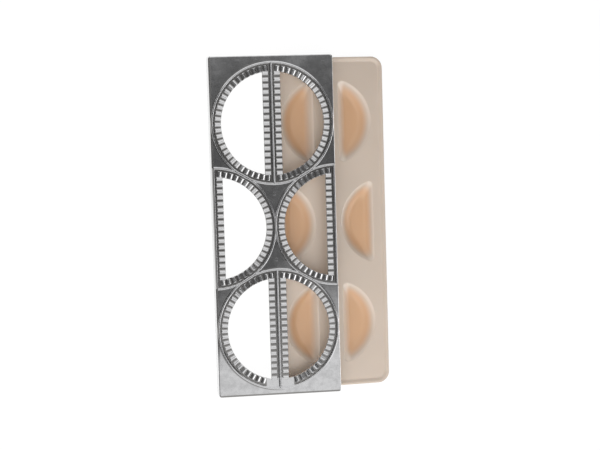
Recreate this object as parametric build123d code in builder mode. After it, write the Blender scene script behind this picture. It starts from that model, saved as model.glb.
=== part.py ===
from build123d import *
import math
import os

# Pierogi maker: a cast cutter frame with six half-moon openings, lying partly on the
# moulded press tray that goes with it. The frame's left feet stand on the table and its
# right feet on the tray, so it is tilted a little about the long axis.
# X runs across, Y along, Z up, and z = 0 is the table. Millimetres and degrees.

# Openings and the raised cutting edge round each of them
opening_radius = 45.9
band_width = 8.0  # from the middle of the cutting edge to the opening
edge_height = 2.4
edge_foot = 2.6
edge_crest = 1.0
edge_overlap = 0.7  # how far a side circle's edge runs into an end circle's
side_margin = 1.6  # end circle to the long side of the plate
straight_margin = 1.4  # a side half-moon's straight edge to the long side
end_margin = 6.2  # end circle to the short side

# Crimping ribs between the cutting edge and the opening
ribs_per_circle = 60
straight_rib_pitch = 5.55
straight_ribs_each_way = 8
rib_height = 1.2
rib_foot = 4.2
rib_crest = 1.8
rib_gap = 1.5  # middle of the cutting edge to the ribs' outer ends
rib_setback = 0.3  # ribs' inner ends to the opening
bare_ribs = 2  # ribs missing beside the end of the front bar, on each side

# Plate and skirt
plate_height = 15.0
plate_thickness = 2.4
skirt_wall = 1.8
skirt_draft = 3.0
plate_corner = 1.5

# Rubber feet and the bosses that hold them
foot_from_side = 6.5
foot_from_end = 9.5
foot_head_radius = 4.5
foot_head_height = 2.0
foot_stem_radius = 2.0
foot_stem_length = 6.0
foot_stem_gap = 0.05
boss_radius = 6.0
boss_hole_spare = 0.5

# Press tray
tray_height = 8.5  # top of the flat land above the table
tray_wall = 1.6
tray_corner = 10.5
lip_height = 1.6
lip_width = 2.6
lip_slope = 30.0
nest_gap = 0.2  # tray to the inside of the frame's skirt when they are nested
pocket_side_gap = 4.3  # pocket's straight side and bow to those of the opening
pocket_tip_gap = 7.7  # pocket's radius short of the opening's
pocket_floor_inset_straight = 5.0
pocket_floor_inset_bow = 11.0
pocket_tip_cut = 1.5
hollow_levels = 4  # corners down the wall of a pocket, inside
shell_levels = 3  # and under the tray

# How the two pieces lie
tray_shift = 50.8  # middle of the frame to the middle of the tray
rest_gap = 0.05

# Sizes that follow
ring_radius = opening_radius + band_width
rib_length = band_width - rib_gap - rib_setback
plate_width = 2 * (ring_radius + side_margin)
side_centre = plate_width / 2 - straight_margin
end_centre = math.sqrt((2 * ring_radius - edge_overlap) ** 2 - side_centre**2)
plate_length = 2 * (end_centre + ring_radius + end_margin)
skirt_flare = plate_height * math.tan(math.radians(skirt_draft))
foot_x = plate_width / 2 - foot_from_side
foot_y = plate_length / 2 - foot_from_end
tray_width = plate_width - 2 * (skirt_wall + nest_gap)
tray_length = plate_length - 2 * (skirt_wall + nest_gap)
pocket_reach = opening_radius - pocket_tip_gap
bow_middle = pocket_tip_gap - pocket_side_gap  # from the opening's circle to the pocket's
pocket_chord = band_width + pocket_side_gap - bow_middle

# The tilt lifts the right feet by the height of the tray's land
tilt = math.asin((tray_height + rest_gap) / (2 * foot_x))
frame_lift = (foot_x + foot_head_radius) * math.sin(tilt) + foot_head_height * math.cos(tilt)

# The origin is under the middle of the two pieces as they lie
left_reach = plate_width / 2 * math.cos(tilt) + plate_height * math.sin(tilt)
right_reach = tray_shift + tray_width / 2
frame_x = (left_reach - right_reach) / 2
tray_x = frame_x + tray_shift

seat = Plane(
    origin=(frame_x, 0, frame_lift),
    x_dir=(math.cos(tilt), 0, math.sin(tilt)),
    z_dir=(-math.sin(tilt), 0, math.cos(tilt)),
)

# Each half-moon: middle of its circle, and the side its bow faces
half_moons = [(0, y, side) for y in (-end_centre, end_centre) for side in (-1, 1)]
half_moons += [(-side * side_centre, 0, side) for side in (-1, 1)]
# The two half-moons of an end circle share one straight edge
straight_edges = [(x, y, side) for x, y, side in half_moons if x != 0 or side > 0]
corners = [(x, y) for y in (-foot_y, foot_y) for x in (-foot_x, foot_x)]


def facing(x, y, side, height=0.0):
    # a place on the frame, turned so that the bow of its half-moon faces local +X
    return Location((x, y, height), (0, 0, 90 - 90 * side))


def moon(plane, radius, chord):
    # half-moon face between the chord and the bow, the circle's middle at the plane's origin
    half = math.sqrt(radius**2 - chord**2)
    with BuildSketch(plane, mode=Mode.PRIVATE) as face:
        with BuildLine():
            ThreePointArc((chord, -half), (radius, 0), (chord, half))
            Line((chord, half), (chord, -half))
        make_face()
    return face.sketch


def trapezoid(plane, reach, foot, crest, height):
    # section of a ridge that stands on the plane's X axis, its middle at reach
    with BuildSketch(plane, mode=Mode.PRIVATE) as face:
        with BuildLine():
            Polyline(
                (reach - foot / 2, 0),
                (reach + foot / 2, 0),
                (reach + crest / 2, height),
                (reach - crest / 2, height),
                close=True,
            )
        make_face()
    return face.sketch


# Patterns for the cutter frame, made once at the origin with the bow towards +X
with BuildPart() as bowed_edge:
    revolve(
        trapezoid(Plane.YZ, -ring_radius, edge_foot, edge_crest, edge_height),
        axis=Axis.Z,
        revolution_arc=180,
    )

with BuildPart() as straight_edge:
    extrude(
        trapezoid(Plane.XZ, 0, edge_foot, edge_crest, edge_height),
        amount=ring_radius,
        both=True,
    )

with BuildPart() as bowed_rib:
    extrude(
        trapezoid(Plane.YZ.offset(opening_radius + rib_setback), 0, rib_foot, rib_crest, rib_height),
        amount=rib_length,
    )

with BuildPart() as straight_rib:
    extrude(
        trapezoid(Plane.YZ.offset(rib_gap), 0, rib_foot, rib_crest, rib_height),
        amount=rib_length,
    )

# Cutter frame: drafted casting, open underneath, with bosses for the feet
with BuildPart(seat) as cutter_frame:
    with BuildSketch(seat):
        RectangleRounded(
            plate_width + 2 * skirt_flare,
            plate_length + 2 * skirt_flare,
            plate_corner + skirt_flare,
        )
    extrude(amount=plate_height, taper=skirt_draft)
    with BuildSketch(seat):
        Rectangle(
            plate_width + 2 * (skirt_flare - skirt_wall),
            plate_length + 2 * (skirt_flare - skirt_wall),
        )
    extrude(amount=plate_height - plate_thickness, taper=skirt_draft, mode=Mode.SUBTRACT)
    with BuildSketch(seat):
        with Locations(*corners):
            Circle(boss_radius)
    extrude(amount=plate_height - plate_thickness / 2)
    with BuildSketch(seat):
        with Locations(*corners):
            Circle(foot_stem_radius + foot_stem_gap)
    extrude(amount=foot_stem_length + boss_hole_spare, mode=Mode.SUBTRACT)

    # Cutting edges: a bow for each half-moon, a straight one for each circle
    with Locations(*[facing(*place, plate_height) for place in half_moons]):
        add(bowed_edge.part)
    with Locations(*[facing(*place, plate_height) for place in straight_edges]):
        add(straight_edge.part)

    # Crimping ribs, left out beside the front end of the front bar
    pitch = 360 / ribs_per_circle
    ribs_each_way = ribs_per_circle // 4 - 1
    for x, y, side in half_moons:
        steps = range(-ribs_each_way, ribs_each_way + 1)
        if y < 0:
            steps = steps[bare_ribs:] if side > 0 else steps[:-bare_ribs]
        turns = [facing(x, y, side, plate_height) * Location((0, 0, 0), (0, 0, n * pitch)) for n in steps]
        with Locations(*turns):
            add(bowed_rib.part)
        rows = range(-straight_ribs_each_way, straight_ribs_each_way + 1)
        shifts = [
            facing(x, y, side, plate_height) * Location((0, n * straight_rib_pitch, 0)) for n in rows
        ]
        with Locations(*shifts):
            add(straight_rib.part)

    # Openings, right through
    for x, y, side in half_moons:
        hole = moon(seat * Plane(facing(x, y, side)), opening_radius, band_width)
        extrude(hole, amount=plate_height + edge_height, mode=Mode.SUBTRACT)

cutter_frame.part.label = "cutter_frame"


# Patterns for the tray's pockets, made once round the middle of the bow, which faces +X
def wall_points(levels, inset, wall):
    # (inwards, height) down a wall that starts steep at the land and ends flat at the floor
    turns = [math.radians(90 * n / (levels - 1)) for n in range(levels)]
    depth = tray_height - tray_wall
    return [(inset * (1 - math.cos(t)), tray_height - wall - depth * math.sin(t)) for t in turns]


def section(*points):
    with BuildSketch(Plane.XZ, mode=Mode.PRIVATE) as face:
        with BuildLine():
            Polyline(*points, close=True)
        make_face()
    return face.sketch


def bowl_section(levels, wall):
    # half of the turned bowl: from its axis to the wall under the bow
    points = wall_points(levels, pocket_floor_inset_bow, wall)
    points = [(pocket_reach + wall - inwards, height) for inwards, height in points]
    return section((0, points[0][1]), *points, (0, points[-1][1]))


def side_section(levels, wall):
    # from the wall under the straight side to beyond the bow
    points = wall_points(levels, pocket_floor_inset_straight, wall)
    points = [(pocket_chord - wall + inwards, height) for inwards, height in points]
    beyond = pocket_reach + 2 * wall + pocket_tip_cut
    return section(*points, (beyond, points[-1][1]), (beyond, points[0][1]))


def tip_half(wall):
    # half the length between the two tips, which are cut square
    return math.sqrt((pocket_reach + wall) ** 2 - (pocket_chord - wall) ** 2) - pocket_tip_cut


with BuildPart() as pocket_hollow:
    revolve(bowl_section(hollow_levels, 0), axis=Axis.Z)
    extrude(side_section(hollow_levels, 0), amount=tip_half(0), both=True, mode=Mode.INTERSECT)

with BuildPart() as pocket_shell:
    revolve(bowl_section(shell_levels, tray_wall), axis=Axis.Z)
    extrude(
        side_section(shell_levels, tray_wall),
        amount=tip_half(tray_wall),
        both=True,
        mode=Mode.INTERSECT,
    )

# Press tray: one thin moulding with a pocket for each opening of the frame
pocket_places = [facing(tray_x + x + side * bow_middle, y, side) for x, y, side in half_moons]
with BuildPart() as press_tray:
    with BuildSketch(Plane((tray_x, 0, tray_height - tray_wall))):
        RectangleRounded(tray_width, tray_length, tray_corner)
    extrude(amount=tray_wall + lip_height)
    with BuildSketch(Plane((tray_x, 0, tray_height))):
        RectangleRounded(
            tray_width - 2 * lip_width, tray_length - 2 * lip_width, tray_corner - lip_width
        )
    extrude(amount=lip_height, taper=-lip_slope, mode=Mode.SUBTRACT)
    with Locations(*pocket_places):
        add(pocket_shell.part)
    with Locations(*pocket_places):
        add(pocket_hollow.part, mode=Mode.SUBTRACT)

press_tray.part.label = "press_tray"

os.makedirs("parts", exist_ok=True)
export_step(cutter_frame.part, "parts/cutter_frame.step")
export_step(press_tray.part, "parts/press_tray.step")

# Rubber feet: a stem in the boss and a head under it
foot_names = ["foot_front_left", "foot_front_right", "foot_back_left", "foot_back_right"]
for name, corner in zip(foot_names, corners):
    with BuildPart(seat) as foot:
        with Locations(corner):
            Cylinder(
                foot_head_radius,
                foot_head_height,
                align=(Align.CENTER, Align.CENTER, Align.MAX),
            )
            Cylinder(
                foot_stem_radius,
                foot_stem_length,
                align=(Align.CENTER, Align.CENTER, Align.MIN),
            )
    foot.part.label = name
    export_step(foot.part, f"parts/{name}.step")
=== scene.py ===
import math

import bmesh
import bpy
import numpy as np
from mathutils import Matrix, Vector


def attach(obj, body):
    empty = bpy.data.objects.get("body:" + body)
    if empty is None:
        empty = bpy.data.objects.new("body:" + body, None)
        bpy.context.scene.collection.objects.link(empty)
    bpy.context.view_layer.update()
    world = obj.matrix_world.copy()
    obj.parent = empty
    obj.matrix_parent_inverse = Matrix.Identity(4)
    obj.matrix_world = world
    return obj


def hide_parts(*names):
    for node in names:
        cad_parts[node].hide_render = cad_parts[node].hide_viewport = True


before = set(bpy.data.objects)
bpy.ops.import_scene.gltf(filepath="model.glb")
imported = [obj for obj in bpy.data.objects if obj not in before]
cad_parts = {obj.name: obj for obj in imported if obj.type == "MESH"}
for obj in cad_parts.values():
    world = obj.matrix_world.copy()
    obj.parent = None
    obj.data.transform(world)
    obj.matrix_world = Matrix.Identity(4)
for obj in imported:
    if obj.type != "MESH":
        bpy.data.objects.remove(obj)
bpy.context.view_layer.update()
scene = bpy.context.scene
mm = 0.001
print("frame loaded:", ", ".join(sorted(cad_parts)))

# Sizes that the casting, the moulding and the feet share, in millimetres and degrees
shared = {
    "openingRadius": 45.9,
    "bandWidth": 8.0,  # middle of the cutting edge to the opening
    "edgeOverlap": 0.7,  # how far a side circle's edge runs into an end circle's
    "sideMargin": 1.6,  # end circle to the long side of the plate
    "straightMargin": 1.4,  # a side half-moon's straight edge to the long side
    "endMargin": 6.2,  # end circle to the short side
    "plateHeight": 15.0,
    "plateThickness": 2.4,
    "skirtWall": 1.8,
    "skirtDraft": 3.0,
    "footFromSide": 6.5,
    "footFromEnd": 9.5,
    "footHeadRadius": 4.5,
    "footHeadHeight": 2.0,
    "trayHeight": 8.5,  # top of the flat land above the table
    "trayShift": 50.8,  # middle of the frame to the middle of the tray
    "nestGap": 0.2,  # tray to the inside of the skirt when the two are nested
    "restGap": 0.05,
}
ringRadius = shared["openingRadius"] + shared["bandWidth"]
plateWidth = 2 * (ringRadius + shared["sideMargin"])
sideCentre = plateWidth / 2 - shared["straightMargin"]
endCentre = math.sqrt((2 * ringRadius - shared["edgeOverlap"]) ** 2 - sideCentre**2)
plateLength = 2 * (endCentre + ringRadius + shared["endMargin"])
plateUnder = shared["plateHeight"] - shared["plateThickness"]
footX = plateWidth / 2 - shared["footFromSide"]
footY = plateLength / 2 - shared["footFromEnd"]
trayWidth = plateWidth - 2 * (shared["skirtWall"] + shared["nestGap"])
trayLength = plateLength - 2 * (shared["skirtWall"] + shared["nestGap"])
tilt = math.asin((shared["trayHeight"] + shared["restGap"]) / (2 * footX))
frameLift = (footX + shared["footHeadRadius"]) * math.sin(tilt) + shared["footHeadHeight"] * math.cos(tilt)
leftReach = plateWidth / 2 * math.cos(tilt) + shared["plateHeight"] * math.sin(tilt)
frameX = (leftReach - shared["trayShift"] - trayWidth / 2) / 2
trayX = frameX + shared["trayShift"]

# From each piece's own millimetres to its place in the lay, in metres
seat = Matrix.Translation((frameX * mm, 0, frameLift * mm))
seat = seat @ Matrix.Rotation(-tilt, 4, "Y") @ Matrix.Scale(mm, 4)
trayPlace = Matrix.Translation((trayX * mm, 0, 0)) @ Matrix.Scale(mm, 4)

# Each half-moon: middle of its circle, and the side its bow faces
endMoons = [(0.0, y, side) for y in (-endCentre, endCentre) for side in (-1, 1)]
sideMoons = [(-side * sideCentre, 0.0, side) for side in (-1, 1)]
halfMoons = endMoons + sideMoons


def gridFaces(rows, columns, closedRows=False, closedColumns=False):
    # quads between neighbouring rows and columns of a grid, with the ends joined where it is closed
    i = np.arange(rows if closedRows else rows - 1)
    j = np.arange(columns if closedColumns else columns - 1)
    i, j = (a.ravel() for a in np.meshgrid(i, j, indexing="ij"))
    iNext, jNext = (i + 1) % rows, (j + 1) % columns
    return np.stack([i * columns + j, iNext * columns + j, iNext * columns + jNext, i * columns + jNext], 1)


def makeObject(name, points, faces):
    # points and faces as they are given, with doubled poles and seams closed and the faces turned outwards
    mesh = bpy.data.meshes.new(name)
    mesh.from_pydata(np.asarray(points, float).tolist(), [], [list(map(int, f)) for f in faces])
    made = bpy.data.objects.new(name, mesh)
    scene.collection.objects.link(made)
    work = bmesh.new()
    work.from_mesh(mesh)
    bmesh.ops.remove_doubles(work, verts=work.verts, dist=1e-7)
    bmesh.ops.dissolve_degenerate(work, edges=work.edges, dist=1e-8)
    bmesh.ops.recalc_face_normals(work, faces=work.faces)
    work.to_mesh(mesh)
    work.free()
    return made


def arc(centreA, centreB, radius, start, stop, steps):
    # points on a circle from one angle to another, in degrees
    a = np.radians(np.linspace(start, stop, steps + 1))
    return np.stack([centreA + radius * np.cos(a), centreB + radius * np.sin(a)], 1)


def roundedOutline(halfWidth, halfLength, radius, steps):
    # points of a rounded rectangle, each corner a quarter turn of the same number of steps
    corners = []
    for k, (sx, sy) in enumerate(((1, 1), (-1, 1), (-1, -1), (1, -1))):
        x, y = sx * (halfWidth - radius), sy * (halfLength - radius)
        corners.append(arc(x, y, radius, 90 * k, 90 * (k + 1), steps))
    return np.concatenate(corners)


def atHeight(outline, height):
    return np.column_stack([outline, np.full(len(outline), height)])


def stackSolid(name, rings):
    # closed solid through a stack of outlines with as many points each: walls as a grid, a cap at each end
    count = len(rings[0])
    faces = list(gridFaces(len(rings), count, closedColumns=True))
    faces += [np.arange(count), np.arange(count) + (len(rings) - 1) * count]
    return makeObject(name, np.concatenate(rings), faces)


def sweepSolid(name, runs, section):
    # section (offset, height) carried along each run of points (x, y) with its side directions
    offset, height = section[:, 0], section[:, 1]
    points, faces, start = [], [], 0
    for path, sideways, closed in runs:
        grid = np.empty((len(path), len(section), 3))
        grid[:, :, :2] = path[:, None, :] + sideways[:, None, :] * offset[None, :, None]
        grid[:, :, 2] = height
        points.append(grid.reshape(-1, 3))
        faces += [f + start for f in gridFaces(len(path), len(section), closed, True)]
        if not closed:
            ends = np.arange(len(section))
            faces += [ends + start, ends + start + (len(path) - 1) * len(section)]
        start += grid.size // 3
    return makeObject(name, np.concatenate(points), faces)


def turnedSolid(name, centres, profile, steps):
    # profile (radius, height) turned round the upright axis at each centre; it starts and ends on the axis
    turn = np.arange(steps) * 2 * math.pi / steps
    radius, height = profile[:, :1], profile[:, 1:]
    one = np.stack([radius * np.cos(turn), radius * np.sin(turn), height + 0 * turn], 2).reshape(-1, 3)
    oneFaces = gridFaces(len(profile), steps, closedColumns=True)
    points = [one + [x, y, 0] for x, y in centres]
    faces = [oneFaces + k * len(one) for k in range(len(centres))]
    return makeObject(name, np.concatenate(points), np.concatenate(faces))


def joinSolids(base, others, operation="UNION"):
    # solid arithmetic in one step per helper, and the helpers are removed afterwards
    for other in others:
        step = base.modifiers.new(other.name, "BOOLEAN")
        step.operation = operation
        step.solver = "MANIFOLD"
        step.object = other
    bpy.context.view_layer.update()
    done = bpy.data.meshes.new_from_object(base.evaluated_get(bpy.context.evaluated_depsgraph_get()))
    base.modifiers.clear()
    base.data = done
    for other in others:
        bpy.data.objects.remove(other)


def planeOf(face, planes):
    # number of the plane (point, direction) that a face lies in and looks away from, or -1
    aligned, near = 0.99999, 2e-6
    centre = face.calc_center_median()
    for k, (point, direction) in enumerate(planes):
        if face.normal.dot(direction) > aligned and abs((centre - point).dot(direction)) < near:
            return k
    return -1


def shadeByAngle(piece, angle, planes=()):
    # smooth shading, with an edge kept sharp past the angle or round one of the planes
    mesh = piece.data
    work = bmesh.new()
    work.from_mesh(mesh)
    bmesh.ops.recalc_face_normals(work, faces=work.faces)
    work.normal_update()
    tags = {face.index: planeOf(face, planes) for face in work.faces}
    for face in work.faces:
        face.smooth = True
    limit = math.radians(angle)
    for edge in work.edges:
        if len(edge.link_faces) == 2:
            a, b = edge.link_faces
            edge.smooth = edge.calc_face_angle(0) < limit and tags[a.index] == tags[b.index]
    work.to_mesh(mesh)
    work.free()


# The aluminium casting: plate, skirt, cutting edges, ribs and bosses
casting = {
    "topRound": 0.8,
    "rimRound": 0.35,
    "cornerRadius": 1.5,
    "hollowCorner": 3.0,
    "hollowFillet": 1.4,
    "roundSteps": 5,
    "rimSteps": 3,
    "cornerSteps": 8,
    "edgeHeight": 2.4,
    "edgeFoot": 2.6,
    "edgeCrest": 0.4,
    "edgeRound": 0.6,
    "edgeFlank": 12,  # degrees at which the crest's rounding meets the flank
    "edgeSteps": 8,
    "bowStep": 2,  # degrees between the edge's points round a circle
    "openingSteps": 96,
    "openingCut": (5.0, 20.0),  # from and to this height
    "ribsPerCircle": 60,
    "straightRibPitch": 5.55,
    "straightRibsEachWay": 8,
    "ribHeight": 1.18,
    "ribRoof": 1.45,
    "ribHalfWidth": 2.2,
    "ribGap": 2.3,
    "ribSetback": 0.12,
    "ribOuterEnd": 0.7,  # length over which a rib turns down at the cutting edge
    "ribInnerEnd": 0.35,  # and at the opening
    "ribEndSeam": 0.15,
    "ribColumns": 15,
    "bareRibs": 2,
    "bossRadius": 6.0,
    "bossFillet": 0.4,
    "bossBevel": 0.3,
    "bossHole": 2.05,
    "bossHoleDepth": 6.5,
    "bossSunk": 0.8,
    "sunk": 0.6,  # how far a form that stands on the plate runs into it
    "markRadius": 1.4,  # of the two round ejector marks between the circles
    "markFloor": 0.9,  # share of the radius that is level
    "markDepth": 0.3,
    "markFromEndCircle": 9.0,
    "turnSteps": (48, 32),  # of a boss and a mark
    "sharpAngle": 32,
}


def plateOutline(inset, radius):
    # the plate's rounded rectangle, moved inwards
    return roundedOutline(plateWidth / 2 - inset, plateLength / 2 - inset, radius, casting["cornerSteps"])


def castingBody():
    # rounded rectangles down the outside of the skirt, round its rim and up the hollow inside
    c = casting
    top, wall = shared["plateHeight"], shared["skirtWall"]
    slope = math.tan(math.radians(shared["skirtDraft"]))
    flare = slope * top
    edge, rim, fillet = c["topRound"], c["rimRound"], c["hollowFillet"]
    topRound = arc(edge, top - edge, edge, 90, 180, c["roundSteps"])
    outer = [(inset - slope * (top - z), z) for inset, z in topRound]
    outer += [(inset - flare, z) for inset, z in arc(rim, rim, rim, 180, 270, c["rimSteps"])]
    inner = [(wall - flare + inset, z) for inset, z in arc(-rim, rim, rim, 270, 360, c["rimSteps"])]
    hollowRound = arc(fillet, plateUnder - fillet, fillet, 180, 90, c["roundSteps"])
    inner += [(wall + inset - slope * (top - z), z) for inset, z in hollowRound]
    rings = [atHeight(plateOutline(inset, c["cornerRadius"] + flare), z) for inset, z in outer]
    rings += [atHeight(plateOutline(inset, c["hollowCorner"]), z) for inset, z in inner]
    return stackSolid("casting", rings)


def edgeSection():
    # tapered section that stands on the plate, with a rounded crest
    c = casting
    top = shared["plateHeight"] + c["edgeHeight"]
    half, crest, r = c["edgeFoot"] / 2, c["edgeCrest"] / 2, c["edgeRound"]
    foot = [[half, shared["plateHeight"] - c["sunk"]], [half, shared["plateHeight"]]]
    right = np.concatenate([foot, arc(crest, top - r, r, c["edgeFlank"], 90, c["edgeSteps"])])
    return np.concatenate([right, right[::-1] * [-1, 1]])


def bowPath(x, y, start, stop):
    # points round a circle of the cutting edges between two angles, with their directions outwards
    closed = stop - start == 360
    steps = (stop - start) // casting["bowStep"]
    a = np.radians(np.linspace(start, stop, steps + (0 if closed else 1), endpoint=not closed))
    away = np.stack([np.cos(a), np.sin(a)], 1)
    return np.array([x, y]) + ringRadius * away, away, closed


def straightPath(x, y):
    # the two ends of a bar across its circle
    path = np.array([[x, y - ringRadius], [x, y + ringRadius]])
    return path, np.array([[1.0, 0.0], [1.0, 0.0]]), False


def cuttingEdges():
    # the section carried round both end circles, both side bows and along the four bars
    section = edgeSection()
    circles = [bowPath(0, y, 0, 360) for y in (-endCentre, endCentre)]
    edges = [sweepSolid("endCircles", circles, section)]
    for x, y, side in sideMoons:
        middle = 0 if side > 0 else 180
        edges.append(sweepSolid("sideBow", [bowPath(x, y, middle - 90, middle + 90)], section))
    bars = [straightPath(0, y) for y in (-endCentre, endCentre)]
    bars += [straightPath(x, 0) for x in (-sideCentre, sideCentre)]
    return edges + [sweepSolid("straightEdges", bars, section)]


def ribSolids(name, places, length):
    # ribs that rise by 1 - |u| ** ribRoof across and turn down at the ends; place is (x, y, turn in degrees)
    c = casting
    across = np.linspace(-1, 1, c["ribColumns"])
    side, rise = c["ribHalfWidth"] * across, c["ribHeight"] * (1 - abs(across) ** c["ribRoof"])
    bend = np.radians([0, 30, 60, 90])
    fall = np.concatenate([np.sin(bend), [1, 1], np.sin(bend[::-1])])
    # two rows just inside the turned-down ends keep the slopes evenly shaded
    outer, inner, seam = c["ribOuterEnd"], c["ribInnerEnd"], c["ribEndSeam"]
    level = [outer + seam, length - inner - seam]
    innerEnd = length - inner * (1 - np.cos(bend[::-1]))
    reach = np.concatenate([outer * (1 - np.cos(bend)), level, innerEnd])
    rows, columns = len(reach), len(side)
    grid = np.empty((rows, columns, 3))
    grid[:, :, 0], grid[:, :, 1] = reach[:, None], side[None, :]
    grid[:, :, 2] = shared["plateHeight"] + rise[None, :] * fall[:, None]
    roof = grid.reshape(-1, 3)
    base = np.column_stack([roof[:, :2], np.full(len(roof), shared["plateHeight"] - c["sunk"])])
    one = np.concatenate([roof, base])
    border = np.concatenate(
        [
            np.arange(columns),
            np.arange(1, rows) * columns + columns - 1,
            (rows - 1) * columns + np.arange(columns - 2, -1, -1),
            np.arange(rows - 2, 0, -1) * columns,
        ]
    )
    after = np.roll(border, -1)
    walls = np.stack([border, after, after + len(roof), border + len(roof)], 1)
    upper = gridFaces(rows, columns)
    oneFaces = np.concatenate([upper, upper[:, ::-1] + len(roof), walls])
    x, y, turn = np.array(places, float).T[:, :, None]
    cos, sin = np.cos(np.radians(turn)), np.sin(np.radians(turn))
    points = np.empty((len(places), len(one), 3))
    points[:, :, 0] = x + one[:, 0] * cos - one[:, 1] * sin
    points[:, :, 1] = y + one[:, 0] * sin + one[:, 1] * cos
    points[:, :, 2] = one[:, 2]
    starts = np.arange(len(places))[:, None, None] * len(one)
    return makeObject(name, points.reshape(-1, 3), (oneFaces + starts).reshape(-1, 4))


def crimpingRibs():
    # a rib at every pitch round the bows and along the straight sides, from the cutting edge inwards
    c = casting
    length = shared["bandWidth"] - c["ribGap"] - c["ribSetback"]
    start = ringRadius - c["ribGap"]
    pitch = 360 / c["ribsPerCircle"]
    eachWay = c["ribsPerCircle"] // 4 - 1
    rows = range(-c["straightRibsEachWay"], c["straightRibsEachWay"] + 1)
    bowed, straight = [], []
    for x, y, side in halfMoons:
        middle = 0 if side > 0 else 180
        steps = list(range(-eachWay, eachWay + 1))
        if y < 0:  # the plain patch beside the front end of the front bar
            steps = steps[c["bareRibs"] :] if side > 0 else steps[: -c["bareRibs"]]
        for n in steps:
            turn = middle + n * pitch
            a = math.radians(turn)
            bowed.append((x + start * math.cos(a), y + start * math.sin(a), turn + 180))
        straight += [(x + side * c["ribGap"], y + n * c["straightRibPitch"], middle) for n in rows]
    return [ribSolids("bowedRibs", bowed, length), ribSolids("straightRibs", straight, length)]


def cornerBosses():
    # tubes with bevelled mouths, and a fillet where they meet the plate
    c = casting
    reach, hole, depth = c["bossRadius"], c["bossHole"], c["bossHoleDepth"]
    bevel, fillet, sunk = c["bossBevel"], c["bossFillet"], plateUnder + c["bossSunk"]
    bore = [[0, depth], [hole, depth], [hole, bevel], [hole + bevel, 0]]
    mouth = [[reach - bevel, 0], [reach, bevel]]
    foot = arc(reach + fillet, plateUnder - fillet, fillet, 180, 90, 4)
    profile = np.concatenate([bore, mouth, foot, [[reach + fillet, sunk], [0, sunk]]])
    corners = [(x, y) for y in (-footY, footY) for x in (-footX, footX)]
    return turnedSolid("bosses", corners, profile, c["turnSteps"][0])


def ejectorMarks():
    # cutters for two shallow recesses with a slightly sloping wall
    c = casting
    top, r = shared["plateHeight"], c["markRadius"]
    floor, over = top - c["markDepth"], top + 1
    profile = np.array([[0, floor], [r * c["markFloor"], floor], [r, top], [r, over], [0, over]])
    y = endCentre - ringRadius - c["markFromEndCircle"]
    return turnedSolid("marks", [(0, -y), (0, y)], profile, c["turnSteps"][1])


def moonOutline(x, y, side):
    # an opening: its bow between the two tips, closed by the straight side
    radius = shared["openingRadius"]
    sweep = math.degrees(math.acos(shared["bandWidth"] / radius))
    return arc(0, 0, radius, -sweep, sweep, casting["openingSteps"]) * [side, 1] + [x, y]


def buildCasting():
    body = castingBody()
    joinSolids(body, cuttingEdges() + crimpingRibs() + [cornerBosses()])
    cutters = [ejectorMarks()]
    for place in halfMoons:
        rings = [atHeight(moonOutline(*place), z) for z in casting["openingCut"]]
        cutters.append(stackSolid("opening", rings))
    joinSolids(body, cutters, "DIFFERENCE")
    body.data.transform(seat)
    up = (seat.to_3x3() @ Vector((0, 0, 1))).normalized()
    planes = [(seat @ Vector((0, 0, shared["plateHeight"])), up), (seat @ Vector((0, 0, plateUnder)), -up)]
    shadeByAngle(body, casting["sharpAngle"], planes)
    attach(body, "frame")
    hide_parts("cutter_frame")
    return body


castingPiece = buildCasting()
print("casting:", len(castingPiece.data.polygons), "faces")


# The cream plastic tray: land, low lip, outer wall and six bowl-shaped pockets
moulding = {
    "wall": 1.6,
    "corner": 10.5,
    "cornerShrink": 0.9,  # a corner's radius against the inset
    "cornerSteps": 12,
    "lipHeight": 1.6,
    "lipCrest": 1.3,  # from the outer wall to where the inner slope begins
    "lipFoot": 4.6,  # and to where it meets the land
    "lipRound": 0.4,
    "lipSteps": 8,
    "pocketSideGap": 4.3,
    "pocketTipGap": 7.7,
    "floorInsetStraight": 7.5,
    "floorInsetBow": 11.0,
    "tipRound": 3.0,
    "rimOut": 1.0,  # how far the soft rim lies outside the pocket's outline
    "rimDrop": 0.002,  # how far the wall starts under the land
    "steepness": 0.7,
    "levels": 25,
    "levelSpacing": 1.5,  # closer near the rim than near the floor
    "bowSteps": 48,
    "tipSteps": 10,
    "straightSteps": 12,
    "bowlSunk": 0.8,  # how far a bowl runs into the land's thickness
    "hollowOver": 4.0,
    "sharpAngle": 34,
}


def pocketOutline(x, y, side, inset, grow):
    # bow, two rounded tips and the straight side; inset runs from 0 at the land to 1 at the floor
    t = moulding
    chord = shared["bandWidth"] + t["pocketSideGap"] + inset * t["floorInsetStraight"] - grow
    bow = shared["openingRadius"] - t["pocketSideGap"] - inset * t["floorInsetBow"] + grow
    radius = shared["openingRadius"] - t["pocketTipGap"] - inset * t["floorInsetBow"] + grow
    middle, tip = bow - radius, t["tipRound"] + grow
    tipY = math.sqrt((radius - tip) ** 2 - (chord + tip - middle) ** 2)
    turn = math.degrees(math.atan2(tipY, chord + tip - middle))
    bowed = arc(middle, 0, radius, -turn, turn, t["bowSteps"])[1:-1]
    upper = arc(chord + tip, tipY, tip, turn, 180, t["tipSteps"])
    along = np.linspace(tipY, -tipY, t["straightSteps"] + 1)[1:-1]
    straight = np.column_stack([np.full(len(along), chord), along])
    lower = arc(chord + tip, -tipY, tip, 180, 360 - turn, t["tipSteps"])
    return np.concatenate([bowed, upper, straight, lower]) * [side, 1] + [x, y]


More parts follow.
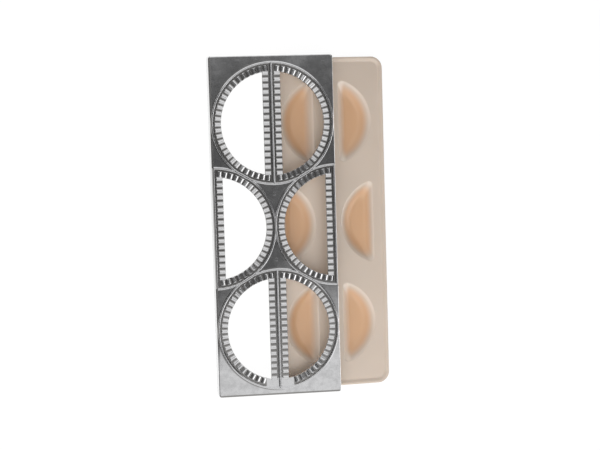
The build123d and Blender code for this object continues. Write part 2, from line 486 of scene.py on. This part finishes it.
def pocketSolid(name, place, wall, top):
    # from the land inwards: it falls by sin(s ** steepness * 90 deg) squared, flat at the rim and the floor
    t = moulding
    start = shared["trayHeight"] - t["rimDrop"] - wall
    depth = shared["trayHeight"] - t["rimDrop"] - t["wall"]
    levels = [(0.0, wall + t["rimOut"], top)]
    for s in np.linspace(0.0, 1.0, t["levels"]) ** t["levelSpacing"]:
        fall = math.sin(math.pi / 2 * s ** t["steepness"]) ** 2
        levels.append((s, wall + t["rimOut"] * (1 - s), start - depth * fall))
    return stackSolid(name, [atHeight(pocketOutline(*place, inset, grow), z) for inset, grow, z in levels])


def trayBody():
    # rounded rectangles up the outer wall, over the lip's crest and down a cosine slope to the land
    t = moulding
    land, r = shared["trayHeight"], t["lipRound"]
    foot = arc(r, land - t["wall"] + r, r, 270, 180, 4)
    crest = arc(r, land + t["lipHeight"] - r, r, 180, 90, 4)
    slope = np.linspace(0, 1, t["lipSteps"] + 1)
    inwards = t["lipCrest"] + (t["lipFoot"] - t["lipCrest"]) * slope
    height = land + t["lipHeight"] * (1 + np.cos(math.pi * slope)) / 2
    rings = []
    for inset, z in np.concatenate([foot, crest, np.stack([inwards, height], 1)]):
        corner = t["corner"] - t["cornerShrink"] * inset
        outline = roundedOutline(trayWidth / 2 - inset, trayLength / 2 - inset, corner, t["cornerSteps"])
        rings.append(atHeight(outline, z))
    return stackSolid("tray", rings)


def buildTray():
    t = moulding
    land, under = shared["trayHeight"], shared["trayHeight"] - t["wall"]
    tray = trayBody()
    joinSolids(tray, [pocketSolid("bowl", place, t["wall"], under + t["bowlSunk"]) for place in halfMoons])
    hollows = [pocketSolid("hollow", place, 0.0, land + t["hollowOver"]) for place in halfMoons]
    joinSolids(tray, hollows, "DIFFERENCE")
    tray.data.transform(trayPlace)
    levels = ((land, 1), (under, -1), (t["wall"], 1), (0, -1))
    planes = [(Vector((0, 0, height * mm)), Vector((0, 0, looks))) for height, looks in levels]
    shadeByAngle(tray, t["sharpAngle"], planes)
    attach(tray, "tray")
    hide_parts("press_tray")
    return tray


trayPiece = buildTray()
print("tray:", len(trayPiece.data.polygons), "faces")

# The rubber feet in the corner bosses
rubberFoot = {
    "stemRadius": 2.0,
    "stemLength": 6.0,
    "stemRound": 0.4,
    "headRound": 0.5,
    "headBevel": 0.3,  # rounding beside the boss
    "dish": ((0.0, 0.35), (0.5, 0.21), (0.72, 0.05)),  # share of the head's radius, and height over its tip
    "steps": 40,
    "sharpAngle": 40,
}


def buildFeet():
    # a turned head with rounded edges and a slightly dished tip, and a stem with a rounded end
    f = rubberFoot
    radius, height = shared["footHeadRadius"], shared["footHeadHeight"]
    head, bevel, stem = f["headRound"], f["headBevel"], f["stemRound"]
    tip = [[share * radius, rise - height] for share, rise in f["dish"]]
    edge = arc(radius - head, head - height, head, 270, 360, 4)
    shoulder = arc(radius - bevel, -bevel, bevel, 0, 90, 3)
    end = arc(f["stemRadius"] - stem, f["stemLength"] - stem, stem, 0, 90, 3)
    profile = np.concatenate([tip, edge, shoulder, [[f["stemRadius"], 0.0]], end, [[0, f["stemLength"]]]])
    made = []
    for depth, y in (("front", -footY), ("back", footY)):
        for hand, x in (("left", -footX), ("right", footX)):
            name = f"foot_{depth}_{hand}"
            foot = turnedSolid(name + "_rubber", [(x, y)], profile, f["steps"])
            foot.data.transform(seat)
            shadeByAngle(foot, f["sharpAngle"])
            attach(foot, "frame")
            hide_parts(name)
            made.append(foot)
    return made


feet = buildFeet()
print("feet:", len(feet))


def feed(tree, slot, value):
    # a link or a plain value into a socket
    if isinstance(value, Flow):
        tree.links.new(value.socket, slot)
    else:
        slot.default_value = value


def joinValues(tree, operation, *values):
    # a Math node fed by sockets and numbers
    node = tree.nodes.new("ShaderNodeMath")
    node.operation = operation
    for slot, value in zip(node.inputs, values):
        feed(tree, slot, value)
    return Flow(tree, node.outputs[0])


class Flow:
    # one output socket, with the usual operators adding Math nodes
    def __init__(self, tree, socket):
        self.tree, self.socket = tree, socket

    def __add__(self, other):
        return joinValues(self.tree, "ADD", self, other)

    def __sub__(self, other):
        return joinValues(self.tree, "SUBTRACT", self, other)

    def __rsub__(self, other):
        return joinValues(self.tree, "SUBTRACT", other, self)

    def __mul__(self, other):
        return joinValues(self.tree, "MULTIPLY", self, other)

    def __truediv__(self, other):
        return joinValues(self.tree, "DIVIDE", self, other)

    def __pow__(self, other):
        return joinValues(self.tree, "POWER", self, other)

    def __neg__(self):
        return joinValues(self.tree, "MULTIPLY", self, -1.0)

    def __abs__(self):
        return joinValues(self.tree, "ABSOLUTE", self)

    __radd__, __rmul__ = __add__, __mul__

    def above(self, low, high):
        # 0 below low, 1 above high, smooth between
        values = {"Value": self, "From Min": low, "From Max": high}
        smooth = {"interpolation_type": "SMOOTHSTEP"}
        return Board(self.tree).node("ShaderNodeMapRange", smooth, values, "Result")

    def greater(self, other):
        return joinValues(self.tree, "MAXIMUM", self, other)

    def smaller(self, other):
        return joinValues(self.tree, "MINIMUM", self, other)


class Board:
    # a node tree and the one way in which its other nodes are made
    def __init__(self, tree):
        self.tree = tree

    def node(self, kind, settings=None, values=None, output=0):
        node = self.tree.nodes.new(kind)
        for name, setting in (settings or {}).items():
            setattr(node, name, setting)
        self.fill(node, values or {})
        return Flow(self.tree, node.outputs[output])

    def fill(self, node, values):
        for name, value in values.items():
            feed(self.tree, node.inputs[name], value)

    def axes(self, place):
        # x, y and z of a vector
        split = self.node("ShaderNodeSeparateXYZ", values={"Vector": place}).socket.node
        return [Flow(self.tree, out) for out in split.outputs]

    def mixColour(self, factor, a, b):
        a, b = (v if isinstance(v, Flow) else (*v, 1) for v in (a, b))
        return self.node("ShaderNodeMix", {"data_type": "RGBA"}, {0: factor, 6: a, 7: b}, 2)

    def noise(self, place, scale, detail=2.0, roughness=0.5):
        values = {"Vector": place, "Scale": scale, "Detail": detail, "Roughness": roughness}
        return self.node("ShaderNodeTexNoise", values=values)

    def stretched(self, place, scale, turn=(0.0, 0.0, 0.0)):
        return self.node("ShaderNodeMapping", values={"Vector": place, "Scale": scale, "Rotation": turn})

    def bump(self, height, strength):
        # height in millimetres
        return self.node("ShaderNodeBump", values={"Height": height, "Distance": mm, "Strength": strength})

    def seen(self):
        # 1 for what the camera, a reflection or glass shows, 0 for what lights a surface
        path = self.node("ShaderNodeLightPath").socket.node
        rays = ("Is Camera Ray", "Is Glossy Ray", "Is Transmission Ray")
        camera, glossy, through = (Flow(self.tree, path.outputs[ray]) for ray in rays)
        return camera.greater(glossy).greater(through)


def newMaterial(name):
    material = bpy.data.materials.new(name)
    material.use_nodes = True
    return material, Board(material.node_tree), material.node_tree.nodes["Principled BSDF"]


# A pair of numbers without another note is where a zone or a pattern fades in or out
aluminium = {
    "colour": (0.86, 0.86, 0.87),
    # dark colour of the grime and painted shade in the grooves and of the painted shadow along the front end
    "grimeAndShadeColour": (0.30, 0.29, 0.28),
    # colour of the painted shade on the left border
    "leftShadeColour": (0.42, 0.415, 0.41),
    "skirtColour": (0.9, 0.9, 0.9),
    "stain": 0.8,  # what the clouded spots keep of the colour
    "stainFrom": (0.34, 0.62),
    # grime and painted shade in the grooves, painted shade along the outer foot
    "grimeAndShade": 0.8,
    "footShade": 0.8,  # painted shade along the outer foot of the cutting edges
    "frontShade": 0.9,  # painted shadow along the plate's front end
    "roughness": 0.09,
    "cloudRoughness": 0.05,
    "ribRoughness": 0.1,
    "edgeRoughness": 0.03,
    "crestRoughness": 0.16,
    "grooveRoughness": 0.1,
    "scratchRoughness": 0.06,
    "skirtRoughness": 0.35,
    "wornPlace": (-48.0, 142.0),  # slightly rougher patch near the back left corner
    "wornReach": (2.0, 22.0),
    "wornWander": 14,
    "wornRoughness": 0.02,
    "grain": 0.003,  # heights of the bump, in millimetres
    "mottle": 0.005,
    "scratch": 0.008,
    "bump": 0.55,
    "cloudNoise": (0.035, 3.0, 0.6),  # scale per millimetre, detail and roughness of each noise
    "mottleNoise": (0.16, 4.0, 0.65),
    "grainNoise": (1.6, 2.0, 0.6),
    "spotShares": (0.7, 0.3),  # of the mottle and the clouds in the stained spots
    "cloudFrom": (0.45, 0.75),
    "alongScale": (1.9, 0.035, 1.0),  # scratches along the plate, where it is clouded
    "alongFrom": (0.66, 0.74),
    "alongWhere": (0.42, 0.6),
    "slantScale": (0.04, 1.6, 1.0),  # and slanting ones elsewhere
    "slant": (0, 0, 0.9),
    "slantFrom": (0.67, 0.74),
    "slantWhere": (0.4, 0.55),
    # millimetres from the middle of a cutting edge, outwards from its circle
    "insideEnds": (-1.1, -0.7),
    "outerFootFrom": (0.75, 0.95),
    "outerFootEnds": (1.5, 2.6),
    # millimetres above the plate
    "grimeAndShadeFrom": (-0.6, -0.1),
    "grimeAndShadeEnds": (0.3, 0.9),
    "outerShadeEnds": (1.2, 2.2),
    "raisedFrom": (0.05, 0.15),
    "crestFrom": (2.3, 2.38),
    "leftShadeFrom": (-0.9, -0.5),
    "skirtEnds": (-1.2, -0.8),
    # millimetres across and along the plate
    "circleFrom": (-0.5, 0.5),  # nearer to an end circle than to a side one
    "rightFrom": (-10, 10),
    "barEnds": (2.0, 3.0),
    "borderFrom": (-0.7, -0.4),  # left of the left bar
    "borderBack": (-125, -105),
    "rimEnds": (1.2, 2.0),  # from the plate's front end
    "plainWidth": 13.0,  # clean end of the band without ribs, each way from the front bar
    "plainFrom": 45.0,  # and from the middle of the front circle outwards
}


def castingZones(x, y, z):
    # share of each finish and of each painted shade from 0 to 1, from distances in the casting's own
    # millimetres
    a = aluminium
    rise = z - shared["plateHeight"]
    endBand = (x * x + (abs(y) - endCentre) ** 2.0) ** 0.5
    sideBand = ((abs(x) - sideCentre) ** 2.0 + y * y) ** 0.5
    fromRing = endBand.smaller(sideBand) - ringRadius
    inside = 1 - fromRing.above(*a["insideEnds"])
    # outside the cutting edges painted shade darkens the flanks that face left
    outerFoot = fromRing.above(*a["outerFootFrom"]) * (1 - fromRing.above(*a["outerFootEnds"]))
    nearEnd, rightHand = (sideBand - endBand).above(*a["circleFrom"]), x.above(*a["rightFrom"])
    outerFoot = outerFoot * (nearEnd * (1 - rightHand) + (1 - nearEnd) * rightHand)
    outerFoot = outerFoot * (1 - rise.above(*a["outerShadeEnds"])) * a["footShade"]
    # inside them grime and painted shade darken the grooves between the ribs, but not the plain patch
    plainPatch = 1 - abs(x).above(a["plainWidth"] - 1, a["plainWidth"])
    plainPatch = plainPatch * (-endCentre - a["plainFrom"] - y).above(-1, 0)
    innerFoot = inside * (1 - plainPatch) * (1 - rise.above(*a["grimeAndShadeEnds"]))
    # painted shade darkens the left border, apart from its front end
    border = (-x - sideCentre).above(*a["borderFrom"]) * y.above(*a["borderBack"])
    return {
        "inside": inside,
        "groove": innerFoot.greater(outerFoot) * rise.above(*a["grimeAndShadeFrom"]),
        "raised": rise.above(*a["raisedFrom"]),
        "crest": rise.above(*a["crestFrom"]) * (1 - abs(x).above(*a["barEnds"])),
        "leftShade": border * rise.above(*a["leftShadeFrom"]),
        "frontRim": 1 - (y + plateLength / 2).above(*a["rimEnds"]),
        "skirt": 1 - rise.above(*a["skirtEnds"]),
    }


def castAluminium():
    a = aluminium
    material, board, shader = newMaterial("castAluminium")
    # back to the casting's own millimetres, so the pattern lies along the tilted plate
    own = board.node(
        "ShaderNodeMapping",
        {"vector_type": "TEXTURE"},
        {
            "Vector": board.node("ShaderNodeTexCoord", output="Object"),
            "Location": (frameX * mm, 0, frameLift * mm),
            "Rotation": (0, -tilt, 0),
            "Scale": (mm, mm, mm),
        },
    )
    x, y, z = board.axes(own)
    zone = castingZones(x, y, z)
    raised, inside = zone["raised"], zone["inside"]
    cloud = board.noise(own, *a["cloudNoise"])
    mottle = board.noise(own, *a["mottleNoise"])
    grain = board.noise(own, *a["grainNoise"])
    along = board.noise(board.stretched(own, a["alongScale"]), 1.0).above(*a["alongFrom"])
    slanting = board.noise(board.stretched(own, a["slantScale"], a["slant"]), 1.0).above(*a["slantFrom"])
    lines = along * cloud.above(*a["alongWhere"])
    lines = lines.greater(slanting * (1 - cloud.above(*a["slantWhere"])))
    ofMottle, ofCloud = a["spotShares"]
    tone = (ofMottle * mottle + ofCloud * cloud).above(*a["stainFrom"]).greater(raised)
    colour = board.mixColour(tone, tuple(a["stain"] * v for v in a["colour"]), a["colour"])
    # painted shadow along the plate's front end
    colour = board.mixColour(zone["frontRim"] * a["frontShade"], colour, a["grimeAndShadeColour"])
    # painted shade on the left border
    colour = board.mixColour(zone["leftShade"], colour, a["leftShadeColour"])
    # grime and painted shade between the ribs, painted shade along the outer foot of the cutting edges
    colour = board.mixColour(zone["groove"] * a["grimeAndShade"], colour, a["grimeAndShadeColour"])
    colour = board.mixColour(zone["skirt"], colour, a["skirtColour"])
    wornX, wornY = a["wornPlace"]
    fromWorn = ((x - wornX) ** 2.0 + (y - wornY) ** 2.0) ** 0.5 + a["wornWander"] * mottle
    worn = (1 - fromWorn.above(*a["wornReach"])) * (1 - raised)
    roughness = a["roughness"] + a["cloudRoughness"] * cloud.above(*a["cloudFrom"])
    roughness = roughness + a["wornRoughness"] * worn
    roughness = roughness + raised * (inside * a["ribRoughness"] + (1 - inside) * a["edgeRoughness"])
    roughness = roughness + a["crestRoughness"] * zone["crest"].greater(zone["leftShade"])
    roughness = roughness + a["grooveRoughness"] * zone["groove"] + a["scratchRoughness"] * lines
    roughness = (1 - zone["skirt"]) * roughness + zone["skirt"] * a["skirtRoughness"]
    height = (grain * a["grain"] + mottle * a["mottle"] - lines * a["scratch"]) * (1 - raised)
    bump = board.bump(height, a["bump"])
    board.fill(shader, {"Base Color": colour, "Roughness": roughness, "Metallic": 1.0, "Normal": bump})
    return material


# A pair of numbers without another note is where a zone or a pattern fades in or out
creamPlastic = {
    "colour": (0.66, 0.55, 0.455),
    # painted highlight along the pocket rims
    "rimHighlightColour": (0.72, 0.61, 0.52),
    "chordLightColour": (0.82, 0.71, 0.61),  # painted light beside the straight side of the right-hand end pockets
    # painted shade and warm inter-reflection deep in the pockets
    "deepShadeColour": (0.66, 0.40, 0.225),
    "cloudShade": 0.96,
    "rimHighlightShare": 0.8,
    "roughness": 0.32,
    "fineRoughness": 0.08,
    "specular": 1.0,
    "coat": 0.5,
    "coatRoughness": 0.28,
    "glow": 0.12,  # share of the light that spreads under the surface
    "glowReach": (0.003, 0.002, 0.0012),
    "fineBump": 0.004,
    "cloudBump": 0.02,
    "bump": 0.5,
    "cloudScale": 22.0,
    "fineScale": 900.0,
    "cloudFrom": (0.35, 0.7),
    # millimetres below the land
    "deepFrom": (1.0, 6.0),
    "rimFrom": (0.02, 0.3),
    "rimEnds": (0.9, 2.4),
    "chordFrom": (0.2, 0.6),
    # millimetres from the straight side of a pocket
    "deepInwards": (0.0, 7.5),
    "middleSooner": 4.0,  # for the two middle pockets
    "chordEnds": (3.0, 7.0),
    # millimetres across and along the tray
    "lipFrom": (-5.0, -3.5),  # from its outline
    "endFrom": (45.0, 47.0),  # the four end pockets
    "rightFrom": (0.0, 1.0),
}


def pocketZones(x, y, z):
    # share of the painted rim highlight, the painted light by the straight sides and the painted shade deep
    # down, from 0 to 1, in the pockets only: not on the outer wall, the lip or the underside
    c = creamPlastic
    depth = shared["trayHeight"] - z
    across = abs(x - trayX)
    within = 1 - (across - trayWidth / 2).above(*c["lipFrom"])
    within = within * (1 - (abs(y) - trayLength / 2).above(*c["lipFrom"]))
    # distance from the straight side of the nearest pocket
    atEnd = abs(y).above(*c["endFrom"])
    fromMiddle = atEnd * across + (1 - atEnd) * (sideCentre - across)
    fromChord = fromMiddle - (shared["bandWidth"] + moulding["pocketSideGap"])
    rim = depth.above(*c["rimFrom"]) * (1 - depth.above(*c["rimEnds"]))
    deep = (fromChord + c["middleSooner"] * (1 - atEnd)).above(*c["deepInwards"])
    deep = deep * depth.above(*c["deepFrom"])
    chord = (1 - fromChord.above(*c["chordEnds"])) * depth.above(*c["chordFrom"])
    chord = chord * atEnd * (x - trayX).above(*c["rightFrom"])
    return rim * within, chord * within, deep * within


def creamMoulding():
    c = creamPlastic
    material, board, shader = newMaterial("creamMoulding")
    raw = board.node("ShaderNodeTexCoord", output="Object")
    rim, chord, deep = pocketZones(*(axis / mm for axis in board.axes(raw)))
    cloud, fine = board.noise(raw, c["cloudScale"]), board.noise(raw, c["fineScale"])
    shade = tuple(c["cloudShade"] * v for v in c["colour"])
    tint = board.mixColour(cloud.above(*c["cloudFrom"]), c["colour"], shade)
    # painted highlight along the pocket rims
    tint = board.mixColour(rim * c["rimHighlightShare"], tint, c["rimHighlightColour"])
    # painted light beside the straight sides of the right-hand end pockets
    tint = board.mixColour(chord, tint, c["chordLightColour"])
    # painted shade and warm inter-reflection deep in the pockets
    tint = board.mixColour(deep, tint, c["deepShadeColour"])
    finish = {
        "Base Color": tint,
        "Roughness": c["roughness"] + c["fineRoughness"] * fine,
        "Specular IOR Level": c["specular"],
        "Coat Weight": c["coat"],
        "Coat Roughness": c["coatRoughness"],
        "Subsurface Weight": c["glow"],
        "Subsurface Radius": c["glowReach"],
        "Subsurface Scale": 1.0,
        "Normal": board.bump(fine * c["fineBump"] + cloud * c["cloudBump"], c["bump"]),
    }
    board.fill(shader, finish)
    return material


blackRubber = {
    "colour": (0.02, 0.02, 0.021),
    "dustColour": (0.06, 0.058, 0.055),
    "roughness": 0.6,
    "dustRoughness": 0.2,
    "dustBump": 0.03,
    "bump": 0.6,
    "dustNoise": (700.0, 3.0),
    "dustFrom": (0.4, 0.8),
}


def footRubber():
    r = blackRubber
    material, board, shader = newMaterial("footRubber")
    dust = board.noise(board.node("ShaderNodeTexCoord", output="Object"), *r["dustNoise"])
    finish = {
        "Base Color": board.mixColour(dust.above(*r["dustFrom"]), r["colour"], r["dustColour"]),
        "Roughness": r["roughness"] + r["dustRoughness"] * dust,
        "Normal": board.bump(dust * r["dustBump"], r["bump"]),
    }
    board.fill(shader, finish)
    return material


metal, cream, rubber = castAluminium(), creamMoulding(), footRubber()
for piece, material in [(castingPiece, metal), (trayPiece, cream)] + [(foot, rubber) for foot in feet]:
    piece.data.materials.clear()
    piece.data.materials.append(material)
for name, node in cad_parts.items():
    node.data.materials.clear()
    node.data.materials.append({"cutter_frame": metal, "press_tray": cream}.get(name, rubber))
print("materials ready")


# Floor and surroundings; a pair of numbers is where a box fades in or out, as a part of a unit direction
studio = {
    "floorHalf": 3.0,
    "floorDrop": 0.0002,
    "floorColour": (0.86, 0.86, 0.86),
    "floorRoughness": 0.9,
    "floorShare": 0.9,  # of its own light in what the floor shows
    "floorLevel": 1.06,
    "ambient": 0.27,
    "dark": 0.098,
    "frontLevel": 0.74,
    "frontLean": 0.2,  # towards the right
    "frontFrom": (0.12, 0.185),
    "backLevel": 0.80,
    "backFrom": (0.04, 0.13),
    "lowLevel": 1.0,
    "lowEnds": (0.02, 0.12),
    "boxHalf": 0.12,  # level part of the front and back boxes, each way
    "narrowing": 0.8,  # how fast they end sideways beyond it
    "rightLevel": 1.9,
    "rightTurn": -20.0,  # where the box on the right stands, in degrees from straight right
    "rightFrom": (0.7, 0.82),
    "rightEnds": (0.32, 0.46),
}


def buildFloor():
    # a white square that shows mostly its own light, so that it stays white under a faint shadow
    s = studio
    half, z = s["floorHalf"], -s["floorDrop"]
    corners = [(-half, -half, z), (half, -half, z), (half, half, z), (-half, half, z)]
    floor = makeObject("floor", corners, [(0, 1, 2, 3)])
    material, board, shader = newMaterial("floorWhite")
    board.fill(shader, {"Base Color": (*s["floorColour"], 1), "Roughness": s["floorRoughness"]})
    board.fill(shader, {"Specular IOR Level": 0.0})
    glow = board.node("ShaderNodeEmission", values={"Color": (1, 1, 1, 1), "Strength": s["floorLevel"]})
    parts = {0: board.seen() * s["floorShare"], 1: Flow(board.tree, shader.outputs[0]), 2: glow}
    surface = board.node("ShaderNodeMixShader", values=parts)
    board.fill(board.tree.nodes["Material Output"], {"Surface": surface})
    floor.data.materials.append(material)


def buildWorld():
    # white all round up to a low height, soft boxes in front, behind and at the right, dark overhead
    s = studio
    world = bpy.data.worlds.new("studio")
    scene.world = world
    world.use_nodes = True
    board = Board(world.node_tree)
    board.tree.nodes.clear()
    x, y, z = board.axes(board.node("ShaderNodeTexCoord", output="Generated"))
    aside = (abs(x) - s["boxHalf"]).greater(0.0) * s["narrowing"]
    front = (s["frontLean"] * x - y - aside).above(*s["frontFrom"]) * s["frontLevel"]
    back = (y - aside).above(*s["backFrom"]) * s["backLevel"]
    low = (1 - z.above(*s["lowEnds"])) * s["lowLevel"]
    turned = math.radians(s["rightTurn"])
    outwards = x * math.cos(turned) + y * math.sin(turned)
    across = abs(y * math.cos(turned) - x * math.sin(turned))
    right = outwards.above(*s["rightFrom"]) * (1 - across.above(*s["rightEnds"])) * s["rightLevel"]
    level = front.greater(back).greater(low).greater(right).greater(s["dark"])
    share = board.seen()
    strength = share * level + (1 - share) * s["ambient"]
    background = board.node("ShaderNodeBackground", values={"Color": (1, 1, 1, 1), "Strength": strength})
    board.fill(board.tree.nodes.new("ShaderNodeOutputWorld"), {"Surface": background})


lamps = {  # name: (place, size, watts)
    "mainLamp": ((-0.2, -0.47, 0.72), 1.6, 12.7),
}


def buildLamps():
    # square lamps that look at the middle of the table and don't show in reflections
    for name, (place, size, watts) in lamps.items():
        lamp = bpy.data.lights.new(name, "AREA")
        lamp.size, lamp.energy = size, watts
        made = bpy.data.objects.new(name, lamp)
        scene.collection.objects.link(made)
        made.location = place
        made.rotation_euler = (-Vector(place)).to_track_quat("-Z", "Y").to_euler()
        made.visible_glossy = False


view = {
    "lens": 75.0,
    "sensor": 36.0,
    "farthest": 20.0,
    "place": (-0.23874, 0.08639, 1.1175),
    "turn": (-0.07018, -0.2142, -0.02989),
}


def buildCamera():
    lens = bpy.data.cameras.new("camera")
    lens.lens, lens.sensor_width, lens.clip_end = view["lens"], view["sensor"], view["farthest"]
    camera = bpy.data.objects.new("camera", lens)
    scene.collection.objects.link(camera)
    camera.location, camera.rotation_euler = view["place"], view["turn"]
    scene.camera = camera


buildFloor()
buildWorld()
buildLamps()
buildCamera()
scene.view_settings.view_transform = "Standard"
print("stage ready")
